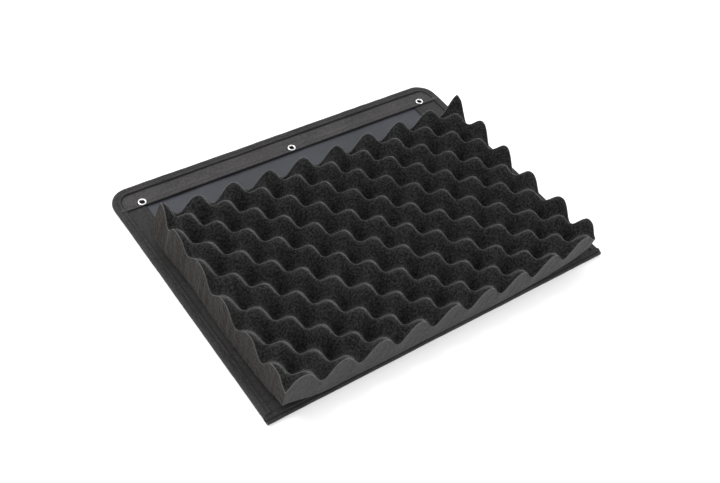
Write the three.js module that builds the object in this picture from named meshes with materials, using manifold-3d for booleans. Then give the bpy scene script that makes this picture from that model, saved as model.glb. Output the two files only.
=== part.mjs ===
// Lid panel for a transport case: a thin fabric-covered board with a bound edge, a document
// pocket and three eyelets, and a convoluted foam pad that lies on it on hook-and-loop strips.
// Millimetres. +X runs along the long side, +Y towards the edge with the eyelets, +Z up.
// The origin is on the resting face, below the middle of the panel.

import * as THREE from "three";
import { mergeVertices } from "three/addons/utils/BufferGeometryUtils.js";
import Module from "manifold-3d";

const wasm = await Module();
wasm.setup();

// Panel
const PANEL_WIDTH = 370;
const PANEL_DEPTH = 275;
const FAR_CORNER_RADIUS = 19;
const GAP = 0.3;
const COVER_THICKNESS = 0.6;
const BOARD_THICKNESS = 1.5;
const SHEET_THICKNESS = 0.3;
const BAND_THICKNESS = 0.6;
const TAPE_THICKNESS = 0.6;

// Bound edges and fabric bands, as widths seen from above
const TAPE_WIDTH = 8.5;
const FRONT_TAPE_WIDTH = 6.6;
const LAYER_INSET = 2;
const LEFT_BAND_INNER_X = -158;
const RIGHT_BAND_INNER_X = 150;
const BOTTOM_BAND_END_Y = 17.5;
const TOP_BAND_START_Y = 247.2;
const SHEET_OVERLAP = 8;

// Eyelets
const EYELET_SPACING = 160;
const EYELET_Y = 251.6;
const EYELET_BORE_RADIUS = 2.3;
const EYELET_BARREL_RADIUS = 2.6;
const EYELET_FLANGE_RADIUS = 3.9;
const EYELET_FLANGE_HEIGHT = 0.7;
const EYELET_EDGE_ROUND = 0.35;
const WASHER_RADIUS = 4.3;

// Convoluted foam pad: whole periods of the lattice are cut off square at its sides
const FOAM_PITCH = 36.7;
const FOAM_STEPS_PER_PITCH = 6;
const FOAM_STEPS_X = 55;
const FOAM_STEPS_Y = 34;
const FOAM_PEAK_HEIGHT = 34;
const FOAM_VALLEY_HEIGHT = 15;
const FOAM_CENTRE_X = -4;
const FOAM_FRONT_Y = 0.8;

// Hook-and-loop strips
const STRIP_CENTRES = { left: -164, right: 157 };
const STRIP_WIDTH = 10;
const STRIP_LENGTH = 170;
const STRIP_START_Y = 22;
const STRIP_THICKNESS = 1;

// Heights of the stacked layers, from the resting face up
const BOARD_Z = COVER_THICKNESS + GAP;
const SHEET_Z = BOARD_Z + BOARD_THICKNESS + GAP;
const BAND_Z = SHEET_Z + SHEET_THICKNESS + GAP;
const UPPER_Z = BAND_Z + BAND_THICKNESS + GAP;
const PANEL_TOP_Z = UPPER_Z + TAPE_THICKNESS;
const FOAM_Z = PANEL_TOP_Z + GAP;
const HOOK_Z = UPPER_Z + STRIP_THICKNESS + GAP;

const FRONT_Y = -PANEL_DEPTH / 2;
const HALF_WIDTH = PANEL_WIDTH / 2;

const fabricBlack = { color: 0x1b1a1a, roughness: 0.85, metalness: 0 };
const tapeBlack = { color: 0x131313, roughness: 0.8, metalness: 0 };
const nylonGrey = { color: 0x23252b, roughness: 0.55, metalness: 0 };
const boardGrey = { color: 0x2a2a2a, roughness: 0.6, metalness: 0 };
const nickel = { color: 0xc9c8c4, roughness: 0.25, metalness: 1 };
const foamGrey = { color: 0x1f1e1f, roughness: 1, metalness: 0 };
const stripBlack = { color: 0x0f0f10, roughness: 0.95, metalness: 0 };

const root = new THREE.Group();

function addMesh(name, geometry, finish, parent = root) {
  const mesh = new THREE.Mesh(geometry, new THREE.MeshStandardMaterial(finish));
  mesh.name = name;
  parent.add(mesh);
  return mesh;
}

// Closed geometry to solid and back

function toSolid(geometry) {
  const bare = geometry.clone();
  bare.deleteAttribute("normal");
  bare.deleteAttribute("uv");
  const merged = mergeVertices(bare, 1e-4);
  return new wasm.Manifold(new wasm.Mesh({
    numProp: 3,
    vertProperties: new Float32Array(merged.attributes.position.array),
    triVerts: new Uint32Array(merged.index.array),
  }));
}

function toGeometry(solid) {
  const mesh = solid.getMesh();
  const geometry = new THREE.BufferGeometry();
  geometry.setAttribute("position", new THREE.BufferAttribute(mesh.vertProperties, 3));
  geometry.setIndex(new THREE.BufferAttribute(mesh.triVerts, 1));
  geometry.computeVertexNormals();
  return geometry;
}

// A plate of a given outline between two heights
function plate(shape, z, thickness, curveSegments = 8) {
  const geometry = new THREE.ExtrudeGeometry(shape, { depth: thickness, bevelEnabled: false, curveSegments });
  geometry.translate(0, 0, z);
  return geometry;
}

// A rectangle given by its limits in X and by distances from the front edge in Y
function rectangle(x0, x1, front, back) {
  const shape = new THREE.Shape();
  shape.moveTo(x0, FRONT_Y + front);
  shape.lineTo(x1, FRONT_Y + front);
  shape.lineTo(x1, FRONT_Y + back);
  shape.lineTo(x0, FRONT_Y + back);
  shape.closePath();
  return shape;
}

// The panel's outline moved in by a distance: square at the front, rounded at the two far corners.
// The front edge of the shape is given by its own distance from the panel's front edge.
function outline(inset, front = inset) {
  const x = HALF_WIDTH - inset;
  const back = PANEL_DEPTH / 2 - inset;
  const radius = FAR_CORNER_RADIUS - inset;
  const shape = new THREE.Shape();
  shape.moveTo(-x, FRONT_Y + front);
  shape.lineTo(x, FRONT_Y + front);
  shape.lineTo(x, back - radius);
  shape.absarc(x - radius, back - radius, radius, 0, Math.PI / 2, false);
  shape.lineTo(-x + radius, back);
  shape.absarc(-x + radius, back - radius, radius, Math.PI / 2, Math.PI, false);
  shape.closePath();
  return shape;
}

// Round holes for the three eyelets, cut through a flat layer
const eyeletPlaces = { left: -EYELET_SPACING, middle: 0, right: EYELET_SPACING };

function pierce(layer, radius) {
  let solid = toSolid(layer);
  for (const x of Object.values(eyeletPlaces)) {
    const drill = new THREE.CylinderGeometry(radius, radius, 4 * UPPER_Z, 24);
    drill.rotateX(Math.PI / 2);
    drill.translate(x, FRONT_Y + EYELET_Y, 0);
    solid = solid.subtract(toSolid(drill));
  }
  return toGeometry(solid);
}

// Flat layers: back cover, stiffener board, pocket sheet and the fabric bands around the pocket

function addLayers() {
  const barrelHole = EYELET_BARREL_RADIUS + GAP;
  const cover = plate(outline(TAPE_WIDTH + GAP, FRONT_TAPE_WIDTH + GAP), 0, COVER_THICKNESS);
  const board = plate(outline(LAYER_INSET), BOARD_Z, BOARD_THICKNESS);
  const sheetShape = rectangle(
    LEFT_BAND_INNER_X - SHEET_OVERLAP, RIGHT_BAND_INNER_X + SHEET_OVERLAP,
    BOTTOM_BAND_END_Y - SHEET_OVERLAP, PANEL_DEPTH - TAPE_WIDTH);
  const sheet = plate(sheetShape, SHEET_Z, SHEET_THICKNESS);
  addMesh("back_cover", pierce(cover, WASHER_RADIUS + GAP), fabricBlack);
  addMesh("stiffener_board", pierce(board, barrelHole), boardGrey);
  addMesh("pocket_sheet", pierce(sheet, barrelHole), nylonGrey);

  const outer = HALF_WIDTH - LAYER_INSET;
  const sideStart = BOTTOM_BAND_END_Y + GAP;
  const sideEnd = TOP_BAND_START_Y - GAP;
  const roundedPlate = toSolid(plate(outline(LAYER_INSET), BAND_Z, BAND_THICKNESS));
  const farStrip = toSolid(plate(rectangle(-outer, outer, TOP_BAND_START_Y, PANEL_DEPTH), BAND_Z, BAND_THICKNESS));
  const topBand = toGeometry(roundedPlate.intersect(farStrip));
  addMesh("top_band", pierce(topBand, barrelHole), fabricBlack);
  addBand("left_band", rectangle(-outer, LEFT_BAND_INNER_X, sideStart, sideEnd));
  addBand("right_band", rectangle(RIGHT_BAND_INNER_X, outer, sideStart, sideEnd));
  addBand("bottom_band", rectangle(-outer, outer, LAYER_INSET, BOTTOM_BAND_END_Y));
}

function addBand(name, shape) {
  addMesh(name, plate(shape, BAND_Z, BAND_THICKNESS), fabricBlack);
}

// Binding tapes folded around the edges: a C section, open towards the middle of the panel

function addEdgeBinding() {
  const start = FRONT_TAPE_WIDTH + GAP;
  const overrun = 5;
  const whole = toSolid(plate(outline(0, start), 0, PANEL_TOP_Z));
  const middle = toSolid(plate(outline(TAPE_WIDTH, start - overrun), -1, PANEL_TOP_Z + 2));
  const slotHeight = UPPER_Z - COVER_THICKNESS;
  const slot = toSolid(plate(outline(LAYER_INSET - GAP, start - overrun), COVER_THICKNESS, slotHeight));
  addMesh("edge_binding", toGeometry(whole.subtract(middle).subtract(slot)), tapeBlack);
}

function addFrontBinding() {
  const slotHeight = UPPER_Z - COVER_THICKNESS;
  const whole = toSolid(plate(rectangle(-HALF_WIDTH, HALF_WIDTH, 0, FRONT_TAPE_WIDTH), 0, PANEL_TOP_Z));
  const slotShape = rectangle(-HALF_WIDTH - 1, HALF_WIDTH + 1, LAYER_INSET - GAP, FRONT_TAPE_WIDTH + 1);
  const slot = toSolid(plate(slotShape, COVER_THICKNESS, slotHeight));
  addMesh("front_binding", toGeometry(whole.subtract(slot)), tapeBlack);
}

// Eyelets: a flange on the top band, a barrel through every layer and a washer let into the back

function addEyelets() {
  const flangeTop = UPPER_Z + EYELET_FLANGE_HEIGHT;
  const eyeletProfile = [
    [EYELET_BORE_RADIUS, BOARD_Z],
    [EYELET_BARREL_RADIUS, BOARD_Z],
    [EYELET_BARREL_RADIUS, UPPER_Z],
    [EYELET_FLANGE_RADIUS, UPPER_Z],
    [EYELET_FLANGE_RADIUS, flangeTop - EYELET_EDGE_ROUND],
    [EYELET_FLANGE_RADIUS - EYELET_EDGE_ROUND, flangeTop],
    [EYELET_BORE_RADIUS + EYELET_EDGE_ROUND, flangeTop],
    [EYELET_BORE_RADIUS, flangeTop - EYELET_EDGE_ROUND],
    [EYELET_BORE_RADIUS, BOARD_Z],
  ];
  const washerProfile = [
    [EYELET_BORE_RADIUS, 0],
    [WASHER_RADIUS, 0],
    [WASHER_RADIUS, COVER_THICKNESS],
    [EYELET_BORE_RADIUS, COVER_THICKNESS],
    [EYELET_BORE_RADIUS, 0],
  ];
  for (const [place, x] of Object.entries(eyeletPlaces)) {
    addMesh(`eyelet_${place}`, ring(eyeletProfile, x), nickel);
    addMesh(`washer_${place}`, ring(washerProfile, x), nickel);
  }
}

function ring(profile, x) {
  const geometry = new THREE.LatheGeometry(profile.map(([r, z]) => new THREE.Vector2(r, z)), 24);
  geometry.rotateX(Math.PI / 2);
  geometry.translate(x, FRONT_Y + EYELET_Y, 0);
  return toGeometry(toSolid(geometry));
}

// Hook-and-loop strips: the loop strips are sewn on the side bands, the hook strips sit under the pad

function strip(x, z, thickness = STRIP_THICKNESS, margin = 0) {
  const shape = rectangle(
    x - STRIP_WIDTH / 2 - margin, x + STRIP_WIDTH / 2 + margin,
    STRIP_START_Y - margin, STRIP_START_Y + STRIP_LENGTH + margin);
  return plate(shape, z, thickness);
}

function addStrips() {
  for (const [place, x] of Object.entries(STRIP_CENTRES)) {
    addMesh(`loop_strip_${place}`, strip(x, UPPER_Z), stripBlack);
    addMesh(`hook_strip_${place}`, strip(x, HOOK_Z), stripBlack);
  }
}

// Foam pad: a lattice of peaks and hollows in a chequered pattern, with peaks halfway along the
// front and left edges, flat below and hollowed where the strips are stuck on

function foamHeight(u, v) {
  const mean = (FOAM_PEAK_HEIGHT + FOAM_VALLEY_HEIGHT) / 2;
  const amplitude = (FOAM_PEAK_HEIGHT - FOAM_VALLEY_HEIGHT) / 2;
  return mean - amplitude * Math.cos(2 * Math.PI * u) * Math.cos(2 * Math.PI * v);
}

function foamBlock(length, width) {
  const block = new THREE.BoxGeometry(length, width, FOAM_PEAK_HEIGHT, FOAM_STEPS_X, FOAM_STEPS_Y, 1);
  const position = block.attributes.position;
  for (let i = 0; i < position.count; i += 1) {
    if (position.getZ(i) > 0) {
      const u = (position.getX(i) + length / 2) / FOAM_PITCH;
      const v = (position.getY(i) + width / 2) / FOAM_PITCH;
      position.setZ(i, foamHeight(u, v));
    }
  }
  return block;
}

function addFoamPad() {
  const step = FOAM_PITCH / FOAM_STEPS_PER_PITCH;
  const length = FOAM_STEPS_X * step;
  const width = FOAM_STEPS_Y * step;
  const centreY = FRONT_Y + FOAM_FRONT_Y + width / 2;
  const block = foamBlock(length, width);
  block.translate(FOAM_CENTRE_X, centreY, FOAM_Z);
  const above = new THREE.BoxGeometry(2 * length, 2 * width, 2 * FOAM_PEAK_HEIGHT);
  above.translate(FOAM_CENTRE_X, centreY, FOAM_Z + FOAM_PEAK_HEIGHT);
  let pad = toSolid(block).intersect(toSolid(above));
  const recessTop = HOOK_Z + STRIP_THICKNESS + GAP;
  for (const x of Object.values(STRIP_CENTRES)) {
    pad = pad.subtract(toSolid(strip(x, UPPER_Z, recessTop - UPPER_Z, GAP)));
  }
  addMesh("foam_pad", toGeometry(pad), foamGrey);
}

addLayers();
addEdgeBinding();
addFrontBinding();
addEyelets();
addStrips();
addFoamPad();

export default root;
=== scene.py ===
"""Looks of a case lid panel with a convoluted foam pad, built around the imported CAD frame.

Shapes are worked out in millimetres from the CAD nodes' boxes and turned into metres when a mesh
is made. +X runs along the long side, +Y towards the edge with the eyelets, +Z up.
"""

import math

import bmesh
import bpy
import numpy as np
from mathutils import Matrix, Vector


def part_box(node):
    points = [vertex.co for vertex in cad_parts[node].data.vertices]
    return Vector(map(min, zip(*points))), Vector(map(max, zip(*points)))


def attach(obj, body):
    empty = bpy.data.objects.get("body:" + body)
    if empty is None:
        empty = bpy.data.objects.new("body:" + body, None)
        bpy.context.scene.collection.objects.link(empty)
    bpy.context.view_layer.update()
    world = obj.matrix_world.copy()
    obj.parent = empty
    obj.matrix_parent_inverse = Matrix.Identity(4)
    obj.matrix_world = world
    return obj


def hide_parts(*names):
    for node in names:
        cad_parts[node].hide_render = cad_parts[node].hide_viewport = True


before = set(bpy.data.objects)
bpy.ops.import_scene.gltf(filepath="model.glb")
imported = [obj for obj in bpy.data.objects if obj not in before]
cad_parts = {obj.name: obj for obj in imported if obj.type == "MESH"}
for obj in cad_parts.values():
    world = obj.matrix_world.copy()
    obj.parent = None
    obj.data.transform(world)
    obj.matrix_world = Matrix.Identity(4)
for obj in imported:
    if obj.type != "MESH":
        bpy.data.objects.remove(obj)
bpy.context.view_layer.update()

MM = 0.001

# Camera, floor and lamps: places and sizes in metres, lens and sensor in millimetres
CAMERA_PLACE = (-0.4518, -0.4624, 0.6672)
CAMERA_AIM = (-0.0122, -0.0181, 0.005)
CAMERA_ROLL = 12.32
CAMERA_LENS = 50.46
SENSOR_WIDTH = 36
FLOOR_SIZE = 8.0
FLOOR_GAP = 0.0002
FLOOR_COLOUR = (0.97, 0.97, 0.97)
FLOOR_DIMMEST = 0.985
WORLD_STRENGTH = 1.25
KEY_PLACE = (-0.75, 0.95, 1.35)
KEY_SIZE = 1.3
KEY_POWER = 22.0
FRONT_PLACE = (0.5, -1.3, 0.75)
FRONT_SIZE = 1.0
FRONT_POWER = 6.0

# Foam pad: its mesh and the lattice of its convoluted side
FOAM_COLUMNS = 264
FOAM_ROWS = 164
WALL_LEVELS = 8
FOAM_PITCH = (37.1, 36.9)
PEAK_HEIGHT = 34.0
VALLEY_HEIGHT = 14.5
PEAK_ROUNDING = 0.17
LATTICE_TURN = math.radians(-0.17)
LATTICE_SHIFT = (1.0, -0.8)

# Stretches of the lattice along X: a size and a reach, or a size, a place along Y and a width
NEAR_STRETCH = (3.2, 24)
LEFT_STRETCH = (1.5, 20)
FAR_STRETCH = (2.2, 172, 32)
FAR_STRETCH_FADE = (0.6, 1.0)

# Shifts of the lattice along Y: the front one has a size at the left and what it gains to the right
FRONT_SHIFT = (1.6, 4.0)
FRONT_SHIFT_AT = (42, 34)
LEFT_SHIFT = (4.5, 160, 35)
LEFT_SHIFT_REACH = 30

# Beside the left and near cuts the peaks are flatter and stand on a higher mean
CUT_REACH = 9
CUT_RISE = 3.6
CORNER_DROP = 6
LEFT_FLATTENING = 0.34
NEAR_FLATTENING = 0.16

# How the loose pad stands off the panel: a height and a reach, or a height, a place and a width
LEFT_CURL = (4.0, 26)
LEFT_BULGE = (4.0, 150, 60)
LEFT_CURL_FADE = 30
NEAR_LEFT_CURL = (10.5, 28)
NEAR_RIGHT_CURL = (7.0, 55)
NEAR_RIGHT_TIP = (6.0, 13)
FAR_LIFT = 4.2
FAR_LIFT_FROM = (100, 190)
FAR_LIFT_BESIDE_LEFT = (6, 60)
FAR_DROP = 1.4
FAR_DROP_FROM = (185, 205)
FAR_RIGHT_LIFT = 2.4
FAR_RIGHT_REACH = 65
HEM_CLEARANCE = 0.7
HEM_CLEARED_BY = (7, 12)

# Lean of the convoluted side away from the left edge and its swelling there, as size and reach
LEFT_LEAN = (4.2, 40)
CORNER_LEAN = (5.0, 14)
CORNER_LEAN_FROM = 0.84
LEFT_SWELL = (3.2, 50)
LEFT_SWELL_AT = (165, 62)

# The hand-made cuts: how far in or out they run, how they lean and how rough they are
LEFT_CUT = -0.8
LEFT_CUT_SLANT = 1.0
RIGHT_CUT_NIP = 2.4
RIGHT_CUT_LEAN = 4.5
NEAR_CUT = 0.5
NEAR_CUT_NIP = 2.0
NEAR_CUT_LEAN = (1.0, 3.6)
FAR_CUT = 3.4
FAR_CUT_TONGUE = 4.5
CUT_CORNER = 0.07
CUT_ROUGHNESS = (0.22, 0.1)

# The torn spike at the far right corner, the easing of tall tops, and the recess over the strips
SPIKE = (7.5, 12)
TALL_FROM = 46.0
TALL_EASE = 0.35
STRIP_RECESS = 1.7
RECESS_BORDER = (1.6, 0.3)

# Colour casts of the greys
CLOTH_TINT = (1.06, 1.0, 1.035)
SIDE_TINT = (1.2, 1.0, 0.95)
NYLON_TINT = (0.93, 1.0, 1.25)

# Fabric bands and binding tape
CLOTH_THICKNESS = 0.6
NYLON_THICKNESS = 0.25
WEAVE_WAVE = 0.12
FAR_RADIUS = 19
COVER_INSET = 8.8
HOLE_RADIUS = 2.5
CUTTER_LENGTH = 30
HEM_WIDTH = 4.2
HEM_LIFT = 0.9
HEM_LIFT_BAND = (1, 11)
HEM_FOLD = 0.45
FAR_SEAM_INSET = 7.2
GROOVE_DEPTH = 0.45
GROOVE_WIDTH = 0.55
SIDE_SEAMS = (1.6, 5.2)
BOTTOM_SEAM_INSET = 2.5
STITCH_MARGIN = 9
RIB_SPACING = 1.5
RIB_HEIGHT = 0.1
STATION_STEP = 0.5
TAPE_SLACK = (0.18, 0.08)
STITCH_LENGTH = 2.5
STITCH_SPACING = 3.1
THREAD_RADIUS = 0.24
ZIGZAG_SPACING = 1.9
ZIGZAG_LENGTH = 2.3
ZIGZAG_STEP = (1.3, 1.1)
ZIGZAG_SHARE = 0.56

# Eyelets and strips
RING_CLEARANCE = 0.15
RIM_HEIGHT = 1.0
RIM_INNER_RADIUS = 2.5
RIM_UNEVENNESS = 0.018
PILE_HEIGHT = 0.4
TUFT_SPACING = 1.5


# ---------------------------------------------------------------- small tools

def span(node):
    """Lowest and highest corner of a CAD node in millimetres."""
    low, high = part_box(node)
    return np.array(low) / MM, np.array(high) / MM


def smooth_step(value, start, end):
    t = np.clip((value - start) / (end - start), 0, 1)
    return t * t * (3 - 2 * t)


def bell(value, centre, width):
    return np.exp(-((value - centre) / width) ** 2)


def fade(distance, size, reach):
    """Full size at and below no distance, dying away beyond it."""
    return size * np.exp(-np.clip(distance, 0, None) / reach)


def hump(value, size, centre, width):
    return size * bell(value, centre, width)


def wobble(x, y, size, seed):
    """Smooth irregular field of about unit height, with features of the given size."""
    total = np.zeros(np.broadcast(x, y).shape)
    local = np.random.default_rng(seed)
    for _ in range(7):
        angle, phase = local.uniform(0, 2 * math.pi, 2)
        k = 2 * math.pi / (size * local.uniform(0.7, 1.5))
        total += np.sin(k * (x * math.cos(angle) + y * math.sin(angle)) + phase)
    return total / 2.6


def grid_quads(rows, columns, flip=False):
    index = np.arange(rows * columns).reshape(rows, columns)
    quads = np.stack([index[:-1, :-1], index[:-1, 1:], index[1:, 1:], index[1:, :-1]], axis=-1)
    quads = quads.reshape(-1, 4)
    return quads[:, ::-1] if flip else quads


def rim_of(rows, columns):
    """Indices of a grid's border, counter-clockwise from above."""
    index = np.arange(rows * columns).reshape(rows, columns)
    return np.concatenate([index[0, :-1], index[:-1, -1], index[-1, :0:-1], index[:0:-1, 0]])


def slab(top, bottom, levels=1, wall=None):
    """Closed body between two grids of points. wall moves the points of the rings between them.

    The kinds that it returns are 0 for a top face, 1 for a bottom face and 2 for a wall face.
    """
    rows, columns = top.shape[:2]
    count = rows * columns
    rim = rim_of(rows, columns)
    points = [top.reshape(-1, 3), bottom.reshape(-1, 3)]
    faces = [grid_quads(rows, columns), grid_quads(rows, columns, flip=True) + count]
    rings = [rim + count]
    low, high = points[1][rim], points[0][rim]
    start = 2 * count
    for level in range(1, levels):
        share = level / levels
        ring = low * (1 - share) + high * share
        if wall is not None:
            ring = ring + wall(ring, share)
        points.append(ring)
        rings.append(start + np.arange(len(rim)))
        start += len(rim)
    rings.append(rim)
    for below, above in zip(rings[:-1], rings[1:]):
        faces.append(np.stack([below, np.roll(below, -1), np.roll(above, -1), above], axis=-1))
    kinds = [0] * len(faces[0]) + [1] * len(faces[1]) + [2] * (len(rim) * levels)
    return np.concatenate(points), np.concatenate(faces).tolist(), kinds


def paint(piece, name, values):
    """Stores one number per point of a piece for its material to read."""
    layer = piece.data.attributes.new(name, "FLOAT", "POINT")
    layer.data.foreach_set("value", np.asarray(values, np.float32).ravel())


def make_piece(name, points, faces, materials, body, replaces=(), kinds=None, turn=False):
    """A mesh object that rides on a body. kinds gives each face's place in the materials."""
    mesh = bpy.data.meshes.new(name)
    mesh.from_pydata((np.asarray(points) * MM).tolist(), [], faces)
    for item in materials:
        mesh.materials.append(item)
    if kinds is not None:
        mesh.polygons.foreach_set("material_index", kinds)
    if turn:
        work = bmesh.new()
        work.from_mesh(mesh)
        bmesh.ops.recalc_face_normals(work, faces=work.faces)
        work.to_mesh(mesh)
        work.free()
    mesh.shade_smooth()
    mesh.set_sharp_from_angle(angle=math.radians(48))
    piece = bpy.data.objects.new(name, mesh)
    bpy.context.scene.collection.objects.link(piece)
    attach(piece, body)
    if replaces:
        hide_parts(*replaces)
    return piece


# ---------------------------------------------------------------- materials

class Shader:
    """Short calls for building one material's nodes."""

    def __init__(self, name, roughness, specular=0.5, metallic=0.0, sheen=0.0, sheen_roughness=0.5):
        self.material = bpy.data.materials.new(name)
        self.material.use_nodes = True
        self.tree = self.material.node_tree
        self.surface = self.tree.nodes["Principled BSDF"]
        self.surface.inputs["Roughness"].default_value = roughness
        self.surface.inputs["Specular IOR Level"].default_value = specular
        self.surface.inputs["Metallic"].default_value = metallic
        self.surface.inputs["Sheen Weight"].default_value = sheen
        self.surface.inputs["Sheen Roughness"].default_value = sheen_roughness
        self.place = self.tree.nodes.new("ShaderNodeTexCoord").outputs["Object"]

    def link(self, source, target):
        self.tree.links.new(source, target)

    def noise(self, scale, detail=4.0, roughness=0.6, stretch=None):
        node = self.tree.nodes.new("ShaderNodeTexNoise")
        node.inputs["Scale"].default_value = scale
        node.inputs["Detail"].default_value = detail
        node.inputs["Roughness"].default_value = roughness
        self.link(self.stretched(stretch), node.inputs["Vector"])
        return node.outputs["Fac"]

    def cells(self, scale):
        node = self.tree.nodes.new("ShaderNodeTexVoronoi")
        node.inputs["Scale"].default_value = scale
        self.link(self.place, node.inputs["Vector"])
        return node.outputs["Distance"]

    def wave(self, direction, scale, distortion=0.6):
        node = self.tree.nodes.new("ShaderNodeTexWave")
        node.bands_direction = direction
        node.inputs["Scale"].default_value = scale
        node.inputs["Distortion"].default_value = distortion
        node.inputs["Detail Scale"].default_value = 2.0
        self.link(self.place, node.inputs["Vector"])
        return node.outputs["Fac"]

    def stretched(self, factors):
        if factors is None:
            return self.place
        node = self.tree.nodes.new("ShaderNodeMapping")
        node.inputs["Scale"].default_value = factors
        self.link(self.place, node.inputs["Vector"])
        return node.outputs["Vector"]

    def math(self, operation, first, second):
        node = self.tree.nodes.new("ShaderNodeMath")
        node.operation = operation
        for socket, value in zip(node.inputs, (first, second)):
            if isinstance(value, (int, float)):
                socket.default_value = value
            else:
                self.link(value, socket)
        return node.outputs["Value"]

    def scaled(self, value, factor, offset):
        return self.math("ADD", self.math("MULTIPLY", value, factor), offset)

    def weighed(self, first, share, second, other_share):
        """Sum of two values, each times its share."""
        first = self.math("MULTIPLY", first, share)
        second = self.math("MULTIPLY", second, other_share)
        return self.math("ADD", first, second)

    def ramp(self, factor, *stops):
        """Colour ramp through (position, colour) stops."""
        node = self.tree.nodes.new("ShaderNodeValToRGB")
        ramp = node.color_ramp
        while len(ramp.elements) < len(stops):
            ramp.elements.new(0.5)
        for element, (position, colour) in zip(ramp.elements, stops):
            element.position = position
            element.color = (*colour, 1)
        self.link(factor, node.inputs["Fac"])
        return node.outputs["Color"]

    def mix(self, factor, first, second, kind="MIX"):
        node = self.tree.nodes.new("ShaderNodeMix")
        node.data_type = "RGBA"
        node.blend_type = kind
        colours = [socket for socket in node.inputs if socket.type == "RGBA"]
        for socket, value in zip((node.inputs["Factor"], *colours), (factor, first, second)):
            if isinstance(value, (int, float)):
                socket.default_value = value
            elif isinstance(value, tuple):
                socket.default_value = (*value, 1)
            else:
                self.link(value, socket)
        return [socket for socket in node.outputs if socket.type == "RGBA"][0]

    def shade(self, colour, factor, *stops):
        """Multiplies a colour by a ramp."""
        return self.mix(1.0, colour, self.ramp(factor, *stops), "MULTIPLY")

    def attribute(self, name):
        node = self.tree.nodes.new("ShaderNodeAttribute")
        node.attribute_name = name
        return node.outputs["Fac"]

    def bump(self, height, distance, strength=1.0, below=None):
        node = self.tree.nodes.new("ShaderNodeBump")
        node.inputs["Strength"].default_value = strength
        node.inputs["Distance"].default_value = distance
        self.link(height, node.inputs["Height"])
        if below is not None:
            self.link(below, node.inputs["Normal"])
        return node.outputs["Normal"]

    def finish(self, colour, roughness=None, normal=None):
        self.link(colour, self.surface.inputs["Base Color"])
        if roughness is not None:
            self.link(roughness, self.surface.inputs["Roughness"])
        if normal is not None:
            self.link(normal, self.surface.inputs["Normal"])
        return self.material


def grey(value, tint=(1, 1, 1)):
    return tuple(value * share for share in tint)


def foam_material(name, dark, light, fuzz, tint=(1, 1, 1), streaks=False, painted_rim_highlight=0):
    """Open-cell foam: a grain over soft patches, and a painted highlight along the top rim of the cuts,
    lighter than the light grey by the given factor.
    """
    shader = Shader(name, 0.95, specular=0.12, sheen=fuzz, sheen_roughness=0.35)
    cells = shader.cells(420)
    grain = shader.noise(600, detail=2, roughness=0.6)
    patches = shader.noise(45, detail=4)
    tone = shader.weighed(grain, 0.85, patches, 0.15)
    colour = shader.ramp(tone, (0.42, grey(dark, tint)), (0.6, grey(light, tint)))
    if streaks:
        lines = shader.noise(260, detail=3, stretch=(1, 1, 0.08))
        colour = shader.shade(colour, lines, (0.35, grey(0.8)), (0.62, grey(1.1)))
    if painted_rim_highlight:
        # Painted highlight: the top rim of the cuts is lightened where light catches the fuzz.
        colour = shader.mix(shader.attribute("painted_rim_highlight"), colour, grey(light * painted_rim_highlight, tint))
    height = shader.math("ADD", cells, shader.math("MULTIPLY", grain, 1.2))
    normal = shader.bump(height, 0.0006, 0.8)
    return shader.finish(colour, normal=normal)


def weave_scale(period):
    """Scale of a wave texture whose bands repeat after a period in metres."""
    return 0.1 * math.pi / period


def fabric_material(name, dark, light, period, tint=(1, 1, 1), specular=0.25, bump=0.00022, sheen=0.08):
    """Plain woven cloth with threads of the given period in metres, with painted shade along its seams,
    folds and edges.
    """
    shader = Shader(name, 0.85, specular=specular, sheen=sheen, sheen_roughness=0.4)
    scale = weave_scale(period)
    threads = shader.math("MAXIMUM", shader.wave("X", scale), shader.wave("Y", scale))
    patches = shader.noise(28, detail=5)
    lint = shader.noise(680, detail=2, roughness=0.6)
    tone = shader.weighed(patches, 0.35, lint, 0.65)
    colour = shader.ramp(tone, (0.42, grey(dark, tint)), (0.6, grey(light, tint)))
    colour = shader.shade(colour, threads, (0.2, grey(0.62)), (0.85, grey(1.1)))
    # Painted shade: the seam attribute darkens grooves, folds and edges.
    colour = shader.mix(shader.attribute("seam"), colour, grey(0.003))
    rough = shader.scaled(patches, 0.2, 0.68)
    normal = shader.bump(threads, bump, 0.9)
    normal = shader.bump(lint, bump, 0.5, below=normal)
    return shader.finish(colour, rough, normal)


def nylon_material():
    """Coated pocket nylon: smooth, faintly bluish, with a fine weave and soft creases."""
    shader = Shader("pocket_nylon", 0.55, specular=0.4)
    scale = weave_scale(0.0005)
    threads = shader.math("ADD", shader.wave("X", scale, 0.2), shader.wave("Y", scale, 0.2))
    patches = shader.noise(16, detail=5)
    specks = shader.noise(480, detail=2)
    tone = shader.weighed(patches, 0.6, specks, 0.4)
    colour = shader.ramp(tone, (0.35, grey(0.02, NYLON_TINT)), (0.65, grey(0.036, NYLON_TINT)))
    rough = shader.scaled(patches, 0.22, 0.42)
    normal = shader.bump(threads, 0.00004, 0.6)
    normal = shader.bump(patches, 0.0012, 0.5, below=normal)
    return shader.finish(colour, rough, normal)


def nickel_material(name, light, rough):
    """Plated nickel with fine turning marks and a little tarnish."""
    shader = Shader(name, rough, metallic=1.0)
    marks = shader.noise(2500, detail=2, stretch=(1, 1, 6))
    tarnish = shader.noise(420, detail=4)
    colour = shader.ramp(tarnish, (0.35, grey(light * 0.72)), (0.6, grey(light)))
    roughness = shader.scaled(tarnish, 0.25, rough)
    return shader.finish(colour, roughness, shader.bump(marks, 0.00005, 0.4))


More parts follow.
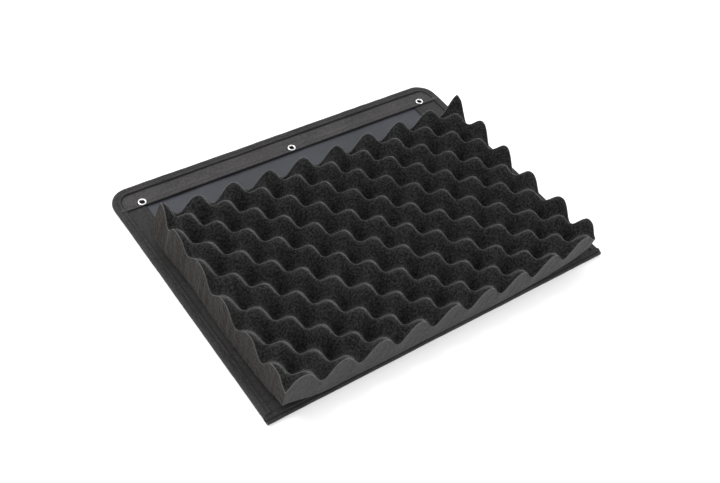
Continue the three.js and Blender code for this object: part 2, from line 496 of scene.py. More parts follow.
def plastic_material():
    """Moulded grey board with a fine grain and shallow scuffs."""
    shader = Shader("stiffener_plastic", 0.6, specular=0.4)
    grain = shader.noise(1800, detail=3)
    scuffs = shader.noise(120, detail=5, stretch=(1, 0.1, 1))
    colour = shader.ramp(scuffs, (0.35, grey(0.022)), (0.65, grey(0.032)))
    roughness = shader.scaled(scuffs, 0.25, 0.45)
    return shader.finish(colour, roughness, shader.bump(grain, 0.0001, 0.5))


def thread_material():
    """Twisted black sewing thread with a dull shine."""
    shader = Shader("sewing_thread", 0.6, specular=0.4)
    twist = shader.wave("DIAGONAL", 700, 0.2)
    colour = shader.ramp(twist, (0.2, grey(0.012)), (0.8, grey(0.03)))
    return shader.finish(colour, normal=shader.bump(twist, 0.0001, 0.7))


# The convoluted side carries the painted highlight along the top rim of its cuts.
FOAM_TOP = foam_material("foam_convoluted", 0.0025, 0.018, 0.18, painted_rim_highlight=5)
# The near and left cut faces are one foam: the near cut's lighter greys are painted light, and the left
# cut's darker, warmer greys are painted shade.
FOAM_CUT_PAINTED_LIGHT = foam_material("foam_cut_painted_light", 0.025, 0.044, 0.08)
FOAM_SIDE_PAINTED_SHADE = foam_material("foam_cut_side_painted_shade", 0.0095, 0.0165, 0.08, SIDE_TINT, streaks=True)
FOAM_BASE = foam_material("foam_base", 0.02, 0.04, 0.08)
BAND_CLOTH = fabric_material("band_fabric", 0.021, 0.046, 0.0009, CLOTH_TINT)
# The side and bottom bands are the band fabric in a darker copy: painted shade cast by the foam.
SIDE_CLOTH_PAINTED_SHADE = fabric_material("side_band_fabric_painted_shade", 0.012, 0.028, 0.0009, CLOTH_TINT)
COVER_CLOTH = fabric_material("cover_fabric", 0.018, 0.034, 0.0011, CLOTH_TINT)
TAPE_CLOTH = fabric_material("binding_tape", 0.012, 0.033, 0.0007, CLOTH_TINT, bump=0.00015)
# The front binding is the binding tape in a darker copy: painted shade under the foam's near edge.
HEM_CLOTH_PAINTED_SHADE = fabric_material("front_binding_tape", 0.008, 0.026, 0.0007, CLOTH_TINT, bump=0.00015)
LOOP_PILE = fabric_material("loop_pile", 0.004, 0.011, 0.0008, bump=0.0004, sheen=0.3)
HOOK_PILE = fabric_material("hook_pile", 0.004, 0.01, 0.0008, specular=0.5, bump=0.0003)
NYLON = nylon_material()
NICKEL = nickel_material("eyelet_nickel", 0.92, 0.16)
# The barrel is the eyelet nickel in a near-black copy: painted shade down the hole.
BARREL_NICKEL_PAINTED_SHADE = nickel_material("barrel_nickel_painted_shade", 0.05, 0.45)
BOARD = plastic_material()
THREAD = thread_material()


# ---------------------------------------------------------------- foam pad

def foam_lift(x, y, box):
    """How far the loose pad stands off the panel: curled edges and corners, and a raised far part."""
    low, high = box
    from_left, from_near = x - low[0], y - low[1]
    curl = fade(from_left, *LEFT_CURL) + hump(from_near, *LEFT_BULGE) * fade(from_left, 1, LEFT_CURL[1])
    curl = curl * smooth_step(from_near, -LEFT_CURL_FADE, LEFT_CURL_FADE)
    height, reach = NEAR_LEFT_CURL
    near_left = hump(np.hypot(from_left, from_near), height, 0, reach)
    from_corner = np.hypot(x - high[0], from_near)
    curls = (NEAR_RIGHT_CURL, NEAR_RIGHT_TIP)
    near_right = sum(hump(from_corner, height, 0, reach) for height, reach in curls)
    far = FAR_LIFT - FAR_DROP * smooth_step(from_near, *FAR_DROP_FROM)
    far = far + FAR_RIGHT_LIFT * smooth_step(x, high[0] - FAR_RIGHT_REACH, high[0])
    far = far * smooth_step(from_near, *FAR_LIFT_FROM) * smooth_step(from_left, *FAR_LIFT_BESIDE_LEFT)
    over_hem = HEM_CLEARANCE * (1 - smooth_step(from_near, *HEM_CLEARED_BY))
    return over_hem + curl + near_left + far + near_right


def foam_lean(x, y, box):
    """How far the convoluted side leans away from the left edge, more towards the far end."""
    low, high = box
    share = np.clip((y - low[1]) / (high[1] - low[1]), 0, 1)
    at_corner = smooth_step(share, CORNER_LEAN_FROM, 1.0)
    return share ** 2 * fade(x - low[0], *LEFT_LEAN) + at_corner * fade(x - low[0], *CORNER_LEAN)


def foam_swell(x, y, box):
    """Extra height of the convoluted side beyond the curl, at the far part of the left edge."""
    low, _ = box
    return fade(x - low[0], *LEFT_SWELL) * bell(y - low[1], *LEFT_SWELL_AT)


def lattice_place(x, y, box):
    """Where a point of the pad is on the lattice, counted in pitches."""
    low, high = box
    share = (x - low[0]) / (high[0] - low[0])
    dx = x - low[0] - LATTICE_SHIFT[0]
    dy = y - low[1] - LATTICE_SHIFT[1]
    dx = dx + fade(dy, *NEAR_STRETCH) + fade(dx, *LEFT_STRETCH)
    dx = dx + hump(dy, *FAR_STRETCH) * (1 - smooth_step(share, *FAR_STRETCH_FADE))
    dy = dy + (FRONT_SHIFT[0] + FRONT_SHIFT[1] * share) * bell(dy, *FRONT_SHIFT_AT)
    dy = dy - hump(dy, *LEFT_SHIFT) * fade(dx, 1, LEFT_SHIFT_REACH)
    u = (dx * math.cos(LATTICE_TURN) + dy * math.sin(LATTICE_TURN)) / FOAM_PITCH[0]
    v = (dy * math.cos(LATTICE_TURN) - dx * math.sin(LATTICE_TURN)) / FOAM_PITCH[1]
    return u, v


def foam_thickness(x, y, box):
    """Height of the convoluted side above the base: rounded peaks, flatter beside the cuts."""
    low, _ = box
    u, v = lattice_place(x, y, box)
    at_left = fade(x - low[0] + 1, 1, CUT_REACH)
    at_near = fade(y - low[1] + 2, 1, CUT_REACH)
    mean = (PEAK_HEIGHT + VALLEY_HEIGHT) / 2 + CUT_RISE * np.maximum(at_left, at_near)
    mean = mean - CORNER_DROP * at_left * at_near
    flattening = np.maximum(LEFT_FLATTENING * at_left, NEAR_FLATTENING * at_near)
    amplitude = (PEAK_HEIGHT - VALLEY_HEIGHT) / 2 * (1 - flattening)
    wave = -np.cos(2 * math.pi * u) * np.cos(2 * math.pi * v)
    rounded = wave + PEAK_ROUNDING * (1 - wave ** 2)
    uneven = 0.35 * wobble(x, y, 34, seed=3) + 0.09 * wobble(x, y, 5, seed=4)
    return mean + amplitude * rounded + uneven


def within(value, start, end):
    """1 between two places, falling to 0 over the border of a recess."""
    outer, inner = RECESS_BORDER
    entered = smooth_step(value, start - outer, start - inner)
    return entered * smooth_step(-value, -end - outer, -end - inner)


def strip_recess(x, y, nodes):
    """How deep the base is pressed in over the strips glued under it."""
    depth = np.zeros(x.shape)
    for node in nodes:
        low, high = span(node)
        depth = np.maximum(depth, STRIP_RECESS * within(x, low[0], high[0]) * within(y, low[1], high[1]))
    return depth


def foam_grid(box, leaning):
    """Plan positions of the pad's points: cut by hand, so its sides are neither straight nor plumb.

    leaning is 1 for the convoluted side and 0 for the base.
    """
    low, high = box
    s, t = np.meshgrid(np.linspace(0, 1, FOAM_COLUMNS), np.linspace(0, 1, FOAM_ROWS))
    x = low[0] + (high[0] - low[0]) * s
    y = low[1] + (high[1] - low[1]) * t
    left = LEFT_CUT + 0.4 * wobble(y, 0, 60, seed=11) + 0.12 * wobble(y, 0, 6, seed=12)
    left = left - LEFT_CUT_SLANT * t * t
    right = 0.4 * wobble(y, 0, 70, seed=13) - RIGHT_CUT_NIP * smooth_step(t, 0.9, 1.0)
    right = right - leaning * fade(t, RIGHT_CUT_LEAN, CUT_CORNER)
    near = NEAR_CUT + NEAR_CUT_NIP * smooth_step(s, 0.8, 1.0) + 0.3 * wobble(x, 0, 90, seed=14)
    near = near - leaning * (NEAR_CUT_LEAN[0] + NEAR_CUT_LEAN[1] * s)
    far = fade(s, FAR_CUT_TONGUE, CUT_CORNER) - FAR_CUT + 0.5 * wobble(x, 0, 80, seed=15)
    return x + left * (1 - s) + right * s, y + near * (1 - t) + far * t


def foam_top(box):
    """Points of the convoluted side, with the torn spike at its far right corner."""
    low, _ = box
    x, y = foam_grid(box, 1)
    from_tip = np.hypot(x - x[-1, -1], y - y[-1, -1])
    spike = SPIKE[0] * np.clip(1 - from_tip / SPIKE[1], 0, 1)
    z = low[2] + foam_lift(x, y, box) + foam_swell(x, y, box) + foam_thickness(x, y, box) + spike
    z = z - TALL_EASE * np.clip(z - TALL_FROM, 0, None)
    return np.stack([x + foam_lean(x, y, box), y, z], axis=-1)


def foam_bottom(box):
    low, _ = box
    x, y = foam_grid(box, 0)
    recess = strip_recess(x, y, ("hook_strip_left", "hook_strip_right"))
    return np.stack([x, y, low[2] + foam_lift(x, y, box) + recess], axis=-1)


def add_foam_pad():
    box = span("foam_pad")
    centre = (box[0] + box[1]) / 2

    def rough_cut(ring, share):
        outward = np.stack([ring[:, 0] - centre[0], ring[:, 1] - centre[1], np.zeros(len(ring))], axis=-1)
        outward /= np.linalg.norm(outward, axis=1)[:, None]
        around = ring[:, 0] - ring[:, 1]
        uneven = CUT_ROUGHNESS[0] * wobble(around, ring[:, 2], 7, seed=21)
        uneven = uneven + CUT_ROUGHNESS[1] * wobble(around, ring[:, 2], 2.6, seed=22)
        return outward * (uneven * math.sin(math.pi * share))[:, None]

    points, faces, kinds = slab(foam_top(box), foam_bottom(box), WALL_LEVELS, rough_cut)
    rim = rim_of(FOAM_ROWS, FOAM_COLUMNS)
    on_left = np.arange(len(rim)) >= len(rim) - (FOAM_ROWS - 1)
    # The left cut face takes the painted-shade copy of the cut foam, and the other cut faces take the
    # painted-light one.
    kinds[-WALL_LEVELS * len(rim):] = np.where(on_left, 3, 2).tolist() * WALL_LEVELS
    pad = make_piece("foam_block", points, faces, [FOAM_TOP, FOAM_BASE, FOAM_CUT_PAINTED_LIGHT, FOAM_SIDE_PAINTED_SHADE],
                     "foam", ("foam_pad",), kinds)
    # Painted highlight: marks the top rim of the cut faces for the foam's lighter colour.
    painted_rim_highlight = np.zeros(len(points))
    painted_rim_highlight[rim] = 1
    paint(pad, "painted_rim_highlight", painted_rim_highlight)
    return box


# ---------------------------------------------------------------- cloth layers

def outline_far(x, half_width, back, radius):
    """Far edge of a layer with rounded corners, at each x."""
    over = np.clip(np.abs(x) - (half_width - radius), 0, radius)
    return back - radius + np.sqrt(np.maximum(radius ** 2 - over ** 2, 0))


def cloth_plate(name, xs, near, far, rows, top, thickness, material, node, seam=None):
    """A cloth layer over columns xs, between near and far at each column.

    top gives the height at a place, and seam how much painted shade darkens it along its grooves and edges.
    """
    near = np.broadcast_to(near, xs.shape)
    far = np.broadcast_to(far, xs.shape)
    t = np.asarray(rows)[:, None]
    x = np.broadcast_to(xs, (len(rows), len(xs)))
    y = near * (1 - t) + far * t
    z = top(x, y)
    upper = np.stack([x, y, z], axis=-1)
    lower = np.stack([x, y, z - thickness], axis=-1)
    points, faces, _ = slab(upper, lower)
    piece = make_piece(name, points, faces, [material], "panel", (node,))
    if seam is not None:
        # Painted shade along the grooves and edges, stored for the cloth's material.
        dark = seam(x, y)
        paint(piece, "seam", np.concatenate([dark.ravel(), dark.ravel()]))
    return piece


def pierce(piece):
    """Cuts the eyelets' holes through a cloth layer."""
    cutter_mesh = bpy.data.meshes.new("cutter")
    work = bmesh.new()
    for place in ("left", "middle", "right"):
        low, high = span(f"eyelet_{place}")
        centre = Matrix.Translation(Vector(((low + high) / 2 * MM).tolist()))
        bmesh.ops.create_cone(work, cap_ends=True, segments=40, radius1=HOLE_RADIUS * MM,
                              radius2=HOLE_RADIUS * MM, depth=CUTTER_LENGTH * MM, matrix=centre)
    work.to_mesh(cutter_mesh)
    work.free()
    cutter = bpy.data.objects.new("cutter", cutter_mesh)
    bpy.context.scene.collection.objects.link(cutter)
    cut = piece.modifiers.new("holes", "BOOLEAN")
    cut.object = cutter
    cut.solver = "EXACT"
    bpy.context.view_layer.update()
    holed = bpy.data.meshes.new_from_object(piece.evaluated_get(bpy.context.evaluated_depsgraph_get()))
    piece.modifiers.remove(cut)
    piece.data = holed
    bpy.data.objects.remove(cutter)


def even(start, end, step):
    return np.linspace(start, end, max(2, int(round((end - start) / step)) + 1))


def add_top_band():
    low, high = span("top_band")
    hem_top = low[1] + HEM_WIDTH
    far_seam = high[1] - FAR_SEAM_INSET

    def height(x, y):
        hem = smooth_step(-y, -hem_top - 0.5, -hem_top + 0.5)
        lift = HEM_LIFT * smooth_step(-y, -low[1] - HEM_LIFT_BAND[1], -low[1] - HEM_LIFT_BAND[0])
        edge = 0.5 * smooth_step(-y, -low[1] - 1.0, -low[1])
        grooves = hump(y, GROOVE_DEPTH, hem_top, GROOVE_WIDTH) + hump(y, GROOVE_DEPTH, far_seam, 0.7)
        cloth = WEAVE_WAVE * wobble(x, y * 2, 45, seed=31)
        return high[2] + lift + HEM_FOLD * hem - grooves - edge + cloth

    def dark(x, y):
        # Painted shade in the stitched grooves, and a painted shadow along the lower edge where the hem
        # stands off the nylon.
        stitched = np.maximum(hump(y, 0.75, hem_top, 0.35), hump(y, 0.5, far_seam, 0.5))
        return np.maximum(stitched, bell(y, low[1], 0.55))

    xs = even(low[0], high[0], 1.5)
    radius = FAR_RADIUS - 2
    far = outline_far(xs, high[0], high[1], radius)
    band = cloth_plate("top_band_cloth", xs, low[1], far, np.linspace(0, 1, 78), height, CLOTH_THICKNESS,
                       BAND_CLOTH, "top_band", dark)
    pierce(band)
    ends = (low[0] + STITCH_MARGIN, hem_top), (high[0] - STITCH_MARGIN, hem_top)
    stitch_line("top_hem_stitches", *ends, height)


def add_side_band(side, inwards, seed):
    """A side band with two seams beside its inner edge. inwards is 1 or -1, along X."""
    node = f"{side}_band"
    low, high = span(node)
    inner = high[0] if inwards > 0 else low[0]
    seams = [inner - inwards * offset for offset in SIDE_SEAMS]

    def height(x, y):
        grooves = sum(hump(x, 0.3, place, 0.5) for place in seams)
        cloth = WEAVE_WAVE * wobble(x * 2, y, 50, seed)
        return high[2] + cloth - grooves - hump(x, 0.35, inner, 0.7)

    def dark(x, y):
        # Painted shade in the seam grooves and along the inner edge.
        stitched = sum(hump(x, 0.6, place, 0.35) for place in seams)
        return np.maximum(stitched, hump(x, 0.8, inner, 0.4))

    xs = even(low[0], high[0], 0.4)
    cloth_plate(f"{node}_cloth", xs, low[1], high[1], np.linspace(0, 1, 110), height, CLOTH_THICKNESS,
                SIDE_CLOTH_PAINTED_SHADE, node, dark)
    for number, place in enumerate(seams):
        stitch_line(f"{node}_stitches_{number + 1}", (place, low[1] + 2), (place, high[1] - 2), height)


def add_side_bands():
    add_side_band("left", 1, seed=41)
    add_side_band("right", -1, seed=42)


def add_bottom_band():
    low, high = span("bottom_band")
    seam = high[1] - BOTTOM_SEAM_INSET

    def height(x, y):
        cloth = WEAVE_WAVE * wobble(x, y * 2, 45, seed=51)
        fold = 0.25 * smooth_step(y, high[1] - 1.2, high[1] - 0.5)
        return high[2] + cloth + fold - hump(y, 0.3, seam, 0.5)

    def dark(x, y):
        # Painted shade along the far edge and in the seam groove.
        return np.maximum(hump(y, 0.8, high[1], 0.4), hump(y, 0.5, seam, 0.35))

    xs = even(low[0], high[0], 2)
    cloth_plate("bottom_band_cloth", xs, low[1], high[1], np.linspace(0, 1, 40), height, CLOTH_THICKNESS,
                SIDE_CLOTH_PAINTED_SHADE, "bottom_band", dark)
    ends = (low[0] + STITCH_MARGIN, seam), (high[0] - STITCH_MARGIN, seam)
    stitch_line("bottom_band_stitches", *ends, height)


def add_pocket_sheet():
    low, high = span("pocket_sheet")

    def height(x, y):
        creases = 0.16 * wobble(x, y, 70, seed=61) + 0.05 * wobble(x, y * 3, 22, seed=62)
        return high[2] + creases - 0.1

    xs = even(low[0], high[0], 2.5)
    far = high[1] - 2
    sheet = cloth_plate("pocket_nylon_sheet", xs, low[1], far, np.linspace(0, 1, 110), height,
                        NYLON_THICKNESS, NYLON, "pocket_sheet")
    pierce(sheet)


def add_back_cover():
    low, high = span("back_cover")
    xs = even(low[0], high[0], 2)
    radius = FAR_RADIUS - COVER_INSET
    far = outline_far(xs, high[0], high[1], radius)

    def height(x, y):
        return np.full(x.shape, high[2])

    thickness = high[2] - low[2]
    cover = cloth_plate("back_cover_cloth", xs, low[1], far, np.linspace(0, 1, 130), height, thickness,
                        COVER_CLOTH, "back_cover")
    pierce(cover)


# ---------------------------------------------------------------- stitches

def stitch_bodies(centres, directions, length=STITCH_LENGTH, radius=THREAD_RADIUS):
    """Little arched capsules of thread, one at each centre, lying along its direction."""
    sides, stops = 6, (-1.0, -0.85, -0.4, 0.0, 0.4, 0.85, 1.0)
    points, faces = [], []
    for centre, direction in zip(centres, directions):
        along = direction / np.linalg.norm(direction)
        across = np.array([-along[1], along[0], 0])
        start = len(points)
        for stop in stops:
            size = radius * (1.0 if abs(stop) < 0.9 else 0.35)
            middle = centre + along * stop * length / 2 + np.array([0, 0, radius * (0.9 - 1.5 * stop ** 2)])
            for side in range(sides):
                turn = 2 * math.pi * side / sides
                points.append(middle + across * size * math.cos(turn)
                              + np.array([0, 0, size * math.sin(turn)]))
        for ring in range(len(stops) - 1):
            for side in range(sides):
                a = start + ring * sides + side
                b = start + ring * sides + (side + 1) % sides
                faces.append((a, b, b + sides, a + sides))
        faces.append(tuple(range(start, start + sides)))
        last = start + (len(stops) - 1) * sides
        faces.append(tuple(range(last + sides - 1, last - 1, -1)))
    return points, faces


def stitch_line(name, start, end, height):
    start, end = np.array(start, float), np.array(end, float)
    count = int(np.linalg.norm(end - start) / STITCH_SPACING)
    shares = (np.arange(count) + 0.5) / count
    flat = start + (end - start) * shares[:, None]
    levels = height(flat[:, 0], flat[:, 1])
    centres = np.column_stack([flat, levels])
    direction = np.append(end - start, 0)
    points, faces = stitch_bodies(centres, [direction] * count)
    return make_piece(name, points, faces, [THREAD], "panel", turn=True)


# ---------------------------------------------------------------- binding tapes

def edge_path(low, high, radius):
    """Stations along the left, far and right edges with their inward directions."""
    straight = high[1] - radius
    places, inward = [], []
    for y in even(low[1], straight, STATION_STEP):
        places.append((low[0], y))
        inward.append((1, 0))
    turns = even(0, math.pi / 2, STATION_STEP / radius)[1:-1]
    for a in turns:
        inward.append((math.cos(a), -math.sin(a)))
        places.append((low[0] + radius - radius * math.cos(a), straight + radius * math.sin(a)))
    for x in even(low[0] + radius, high[0] - radius, STATION_STEP):
        places.append((x, high[1]))
        inward.append((0, -1))
    for a in turns:
        inward.append((-math.sin(a), -math.cos(a)))
        places.append((high[0] - radius + radius * math.sin(a), straight + radius * math.cos(a)))
    for y in even(low[1], straight, STATION_STEP)[::-1]:
        places.append((high[0], y))
        inward.append((-1, 0))
    return np.array(places), np.array(inward)


def tape_section(width, bottom, top, core_bottom, core_top, rounding=1.6):
    """Closed section of a folded tape as (distance from the edge, height, rib share, painted shade)."""
    # Painted shadow at the inner edge, where the tape steps onto the band.
    over = [(width, top - 0.25, 0, 1), (width - 0.25, top, 0.4, 1), (width - 0.6, top + 0.02, 0.6, 0.8)]
    for d in np.linspace(width - 1.1, rounding + 0.5, 14):
        line = bell(d, width * ZIGZAG_SHARE, 0.5)
        swell = 0.22 * math.sin(math.pi * (width - d) / width)
        # Painted shade along the zigzag groove.
        over.append((d, top + swell - 0.3 * line, 1, 0.9 * line))
    middle = (top + bottom) / 2
    for a in np.linspace(math.pi / 2, 3 * math.pi / 2, 9):
        reach = (top - bottom) / 2
        over.append((rounding * (1 + math.cos(a)), middle + reach * math.sin(a), 1, 0))
    under = [(width - 0.3, bottom, 0, 0), (width, bottom + 0.2, 0, 0), (width, core_bottom, 0, 0),
             (2.0, core_bottom, 0, 0), (2.0, core_top, 0, 0), (width, core_top, 0, 0)]
    return np.array(over + under)


def lengths_along(places):
    """Distance walked along a path at each of its points."""
    return np.concatenate([[0], np.cumsum(np.linalg.norm(np.diff(places, axis=0), axis=1))])


def sweep_tape(name, places, inward, section, material, node):
    """A tape of one section along a path, ribbed across and a little slack."""
    steps = lengths_along(places)
    rib = RIB_HEIGHT * np.cos(2 * math.pi * steps / RIB_SPACING)
    slack = TAPE_SLACK[0] * wobble(steps, 0, 55, seed=71) + TAPE_SLACK[1] * wobble(steps, 0, 17, seed=72)
    middle = section[:, 1].mean()
    outer = section[:, 2]
    lift = np.where(section[:, 1] > middle, 1.0, 0.0) * outer
    distance = section[:, 0][None, :] - 0.5 * slack[:, None] * outer[None, :]
    distance = distance - rib[:, None] * (outer * (section[:, 0] < 1.2))[None, :]
    x = places[:, 0][:, None] + inward[:, 0][:, None] * distance
    y = places[:, 1][:, None] + inward[:, 1][:, None] * distance
    z = section[:, 1][None, :] + (rib + 0.5 * slack)[:, None] * lift[None, :]
    points = np.stack([x, y, z], axis=-1).reshape(-1, 3)
    stations, sides = x.shape
    index = np.arange(stations * sides).reshape(stations, sides)
    ahead = np.roll(index, -1, axis=1)
    quads = np.stack([index[:-1], index[1:], ahead[1:], ahead[:-1]], axis=-1).reshape(-1, 4)
    caps = [tuple(index[0]), tuple(index[-1][::-1])]
    tape = make_piece(name, points, quads.tolist() + caps, [material], "panel", (node,), turn=True)
    # The section's last column, its painted shade, goes to the seam attribute.
    paint(tape, "seam", np.broadcast_to(section[:, 3], (stations, sides)))
    return tape


def add_zigzag(name, row, inward, level):
    """Zigzag stitches along a row of places."""
    steps = lengths_along(row)
    count = int(steps[-1] / ZIGZAG_SPACING)
    along = (np.arange(count) + 0.5) * steps[-1] / count
    x, y = np.interp(along, steps, row[:, 0]), np.interp(along, steps, row[:, 1])
    in_x, in_y = np.interp(along, steps, inward[:, 0]), np.interp(along, steps, inward[:, 1])
    side = np.where(np.arange(count) % 2 == 0, 1.0, -1.0)
    forward = np.column_stack([in_y, -in_x, np.zeros(count)])
    across = np.column_stack([in_x, in_y, np.zeros(count)])
    centres = np.column_stack([x, y, np.full(count, level)])
    directions = forward * ZIGZAG_STEP[0] + across * side[:, None] * ZIGZAG_STEP[1]
    points, faces = stitch_bodies(centres, directions, length=ZIGZAG_LENGTH)
    make_piece(name, points, faces, [THREAD], "panel", turn=True)


def add_edge_binding():
    low, high = span("edge_binding")
    cover_low, _ = span("back_cover")
    width = cover_low[0] - low[0] - 0.3
    places, inward = edge_path(low, high, FAR_RADIUS)
    section = tape_section(width, low[2], high[2], low[2] + CLOTH_THICKNESS, high[2] - CLOTH_THICKNESS)
    sweep_tape("edge_binding_tape", places, inward, section, TAPE_CLOTH, "edge_binding")
    add_zigzag("edge_binding_stitches", places + inward * (width * ZIGZAG_SHARE), inward, high[2] - 0.02)


def front_section(width, bottom, top):
    """Rolled hem: a lower fold that stands out in front and an upper layer set back on it.

    Points are (distance from the edge, height, rib share, painted shade), as in tape_section.
    """
    # Painted shade at the inner edge, a painted shadow under the step of the upper layer, and painted shade
    # on the front of the roll.
    return np.array([
        (width, top - 0.3, 0, 0.8), (width - 0.3, top + 0.05, 0.5, 0.5), (width - 1.0, top + 0.35, 1, 0),
        (width - 2.0, top + 0.5, 1, 0), (width - 3.0, top + 0.4, 1, 0), (width - 3.7, top + 0.05, 1, 0.3),
        (width - 4.1, top - 0.5, 1, 1), (width - 4.4, top - 0.75, 0.3, 1), (1.9, top - 0.7, 0.5, 0.2),
        (1.4, top - 0.6, 1, 0), (0.9, top - 0.75, 1, 0), (0.45, top - 1.2, 1, 0),
        (0.15, top - 1.8, 1, 0), (0.0, (top + bottom) / 2, 1, 0.6), (0.15, bottom + 1.2, 1, 0),
        (0.6, bottom + 0.4, 1, 0), (1.3, bottom, 1, 0), (width - 0.3, bottom, 0, 0),
        (width, bottom + 0.2, 0, 0), (width, bottom + 0.6, 0, 0), (2.3, bottom + 0.6, 0, 0),
        (2.3, top - 1.0, 0, 0), (width, top - 0.6, 0, 0)])


def add_front_binding():
    low, high = span("front_binding")
    xs = even(low[0] + 0.4, high[0] - 0.4, STATION_STEP)
    places = np.column_stack([xs, np.full(len(xs), low[1])])
    inward = np.column_stack([np.zeros(len(xs)), np.ones(len(xs))])
    section = front_section(high[1] - low[1], low[2], high[2])
    sweep_tape("front_binding_tape", places, inward, section, HEM_CLOTH_PAINTED_SHADE, "front_binding")
    seam = high[1] - 3.2

    def level(x, y):
        return np.full(np.shape(x), high[2] + 0.32)

    stitch_line("front_binding_stitches", (low[0] + 3, seam), (high[0] - 3, seam), level)


# ---------------------------------------------------------------- eyelets and strips

def lathe(centre, profile, sides=56, uneven=0.0, phase=0):
    """Closed ring turned from a closed profile of (radius, height), a little out of round."""
    profile = np.array(profile)
    turn = np.linspace(0, 2 * math.pi, sides, endpoint=False)
    squeeze = 1 + uneven * (np.sin(2 * turn + phase) + 0.6 * np.sin(5 * turn + 2 * phase)) / 1.6
    radius = profile[:, 0][None, :] * squeeze[:, None]
    x = centre[0] + radius * np.cos(turn)[:, None]
    y = centre[1] + radius * np.sin(turn)[:, None]
    z = np.broadcast_to(profile[:, 1][None, :], x.shape)
    points = np.stack([x, y, z], axis=-1).reshape(-1, 3)
    index = np.arange(points.shape[0]).reshape(sides, len(profile))
    ahead, after = np.roll(index, -1, axis=0), np.roll(index, -1, axis=1)
    both = np.roll(ahead, -1, axis=1)
    quads = np.stack([index, ahead, both, after], axis=-1).reshape(-1, 4)
    return points, quads.tolist()


def rolled_rim(inner, outer, base, top, steps=12):
    """Half-round profile of a rolled flange between two radii."""
    middle, reach = (inner + outer) / 2, (outer - inner) / 2
    return [(middle + reach * math.cos(a), base + (top - base) * math.sin(a))
            for a in np.linspace(0, math.pi, steps)]


def add_eyelet(place, phase):
    """A nickel ring over the cloth, with its barrel down through the panel, darkened inside by painted
    shade.
    """
    low, high = span(f"eyelet_{place}")
    outer = (high[0] - low[0]) / 2
    base = high[2] + RING_CLEARANCE
    rim = rolled_rim(RIM_INNER_RADIUS, outer + 0.15, base, base + RIM_HEIGHT)
    barrel = [(2.25, base - 0.3), (2.15, low[2] + 0.4), (2.45, low[2]), (2.6, low[2] + 0.3),
              (2.55, base - 0.4), (outer - 0.1, base - 0.15)]
    profile = rim + barrel
    points, faces = lathe((low + high) / 2, profile, uneven=RIM_UNEVENNESS, phase=phase)
    # The barrel's inner faces take the painted-shade nickel.
    inside = (len(rim) - 1, len(rim), len(rim) + 1)
    kinds = [1 if k % len(profile) in inside else 0 for k in range(len(faces))]
    make_piece(f"eyelet_{place}_ring", points, faces, [NICKEL, BARREL_NICKEL_PAINTED_SHADE], "panel",
               (f"eyelet_{place}",), kinds, turn=True)
    return (low + high) / 2


def add_washer(place, centre):
    """The back half of an eyelet."""
    low, high = span(f"washer_{place}")
    radius = (high[0] - low[0]) / 2
    profile = [(2.3, low[2]), (radius - 0.3, low[2]), (radius, low[2] + 0.15), (radius, high[2] - 0.15),
               (radius - 0.3, high[2]), (2.5, high[2]), (2.3, high[2] - 0.1)]
    points, faces = lathe(centre, profile)
    make_piece(f"washer_{place}_ring", points, faces, [NICKEL], "panel",
               (f"washer_{place}",), turn=True)


def add_eyelets():
    for number, place in enumerate(("left", "middle", "right")):
        centre = add_eyelet(place, number)
        add_washer(place, centre)


def strip_piece(node, body, material, facing, lift):
    """A hook or loop strip: a woven base with rows of little tufts on its upper or lower face."""
    low, high = span(node)
    xs, ys = even(low[0], high[0], 0.5), even(low[1], high[1], 0.5)
    x, y = np.meshgrid(xs, ys)
    raised = lift(x, y)
    turn = 2 * math.pi / TUFT_SPACING
    rows = 0.5 + 0.5 * np.cos(turn * x) * np.cos(turn * y)
    border = np.minimum(np.minimum(x - low[0], high[0] - x), np.minimum(y - low[1], high[1] - y))
    sunk = PILE_HEIGHT * (1 - rows * smooth_step(border, 0.2, 1.2))
    top_z = high[2] + raised - (sunk if facing > 0 else 0)
    bottom_z = low[2] + raised + (0 if facing > 0 else sunk)
    top = np.stack([x, y, top_z], axis=-1)
    bottom = np.stack([x, y, bottom_z], axis=-1)
    points, faces, _ = slab(top, bottom)
    piece = make_piece(f"{node}_tape", points, faces, [material], body, (node,))


def add_strips(foam_box):
    def lying(x, y):
        return np.zeros(x.shape)

    def with_pad(x, y):
        return foam_lift(x, y, foam_box)

    for side in ("left", "right"):
        strip_piece(f"loop_strip_{side}", "panel", LOOP_PILE, 1, lying)
        strip_piece(f"hook_strip_{side}", "foam", HOOK_PILE, -1, with_pad)


# ---------------------------------------------------------------- scene

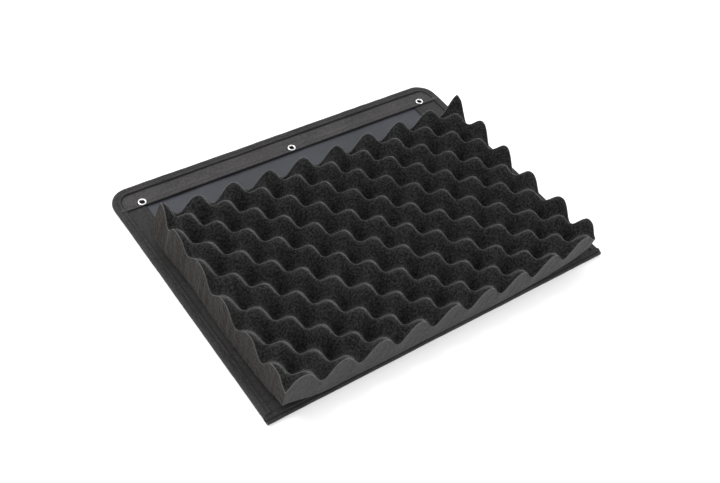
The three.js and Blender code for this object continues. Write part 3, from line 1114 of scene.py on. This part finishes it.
def add_floor():
    """White paper just below the part."""
    mesh = bpy.data.meshes.new("floor")
    half = FLOOR_SIZE / 2
    corners = [(-half, -half, 0), (half, -half, 0), (half, half, 0), (-half, half, 0)]
    mesh.from_pydata(corners, [], [(0, 1, 2, 3)])
    shader = Shader("floor_paper", 0.9, specular=0.1)
    tone = shader.noise(3, detail=2)
    dim = tuple(FLOOR_DIMMEST * share for share in FLOOR_COLOUR)
    mesh.materials.append(shader.finish(shader.ramp(tone, (0.3, dim), (0.7, FLOOR_COLOUR))))
    floor = bpy.data.objects.new("floor", mesh)
    floor.location.z = -FLOOR_GAP
    bpy.context.scene.collection.objects.link(floor)


def add_lamp(name, place, aim, size, power):
    data = bpy.data.lights.new(name, "AREA")
    data.shape = "DISK"
    data.size = size
    data.energy = power
    lamp = bpy.data.objects.new(name, data)
    lamp.location = place
    lamp.rotation_euler = (Vector(aim) - Vector(place)).to_track_quat("-Z", "Y").to_euler()
    bpy.context.scene.collection.objects.link(lamp)


def add_camera():
    data = bpy.data.cameras.new("camera")
    data.lens = CAMERA_LENS
    data.sensor_width = SENSOR_WIDTH
    data.clip_start = 0.01
    camera = bpy.data.objects.new("camera", data)
    look = (Vector(CAMERA_AIM) - Vector(CAMERA_PLACE)).to_track_quat("-Z", "Y").to_matrix().to_4x4()
    roll = Matrix.Rotation(math.radians(CAMERA_ROLL), 4, "Z")
    camera.matrix_world = Matrix.Translation(CAMERA_PLACE) @ look @ roll
    bpy.context.scene.collection.objects.link(camera)
    bpy.context.scene.camera = camera


def add_studio():
    add_floor()
    world = bpy.data.worlds.new("studio")
    world.use_nodes = True
    background = world.node_tree.nodes["Background"]
    background.inputs["Color"].default_value = (1, 1, 1, 1)
    background.inputs["Strength"].default_value = WORLD_STRENGTH
    bpy.context.scene.world = world
    add_lamp("key_light", KEY_PLACE, (0, 0, 0), KEY_SIZE, KEY_POWER)
    add_lamp("front_light", FRONT_PLACE, (0, 0, 0), FRONT_SIZE, FRONT_POWER)
    bpy.context.scene.view_settings.view_transform = "Standard"


add_camera()
add_studio()
foam_box = add_foam_pad()
add_top_band()
add_side_bands()
add_bottom_band()
add_pocket_sheet()
add_back_cover()
add_edge_binding()
add_front_binding()
add_eyelets()
add_strips(foam_box)
board_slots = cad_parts["stiffener_board"].data.materials
board_slots.clear()
board_slots.append(BOARD)
